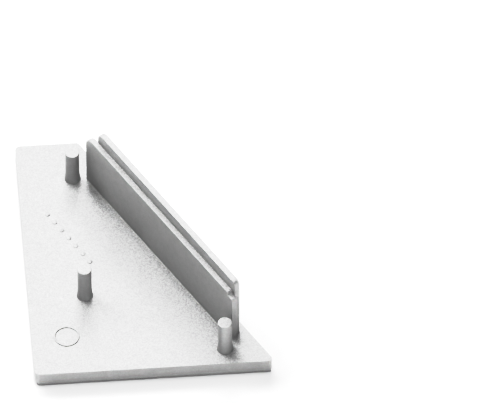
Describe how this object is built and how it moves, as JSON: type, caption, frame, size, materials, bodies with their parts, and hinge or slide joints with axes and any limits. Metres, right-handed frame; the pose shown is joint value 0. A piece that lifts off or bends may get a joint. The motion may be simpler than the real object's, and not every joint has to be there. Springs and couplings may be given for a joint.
{
  "type": "profile end cap",
  "caption": "End cap for a 30/60 degree corner profile: a flat trapezoid plate with round press-in pins and a stepped locating rib beside its slanted edge, in silver painted plastic.",
  "frame": {"origin": "middle of the plate's outline, on the outer face that the cap lies on", "axes": "+X along the wide edge, from the long straight edge to the slanted one; +Y along the long straight edge, from the wide edge to the narrow one; +Z from the outer face to the pins and the rib"},
  "size_m": [0.0414, 0.0524, 0.0168],
  "materials": {
    "silver_painted_abs": "satin metallic silver paint with a fine even grain, on moulded ABS"
  },
  "bodies": {
    "root": {"end_cap": "silver_painted_abs"}
  },
  "joints": []
}
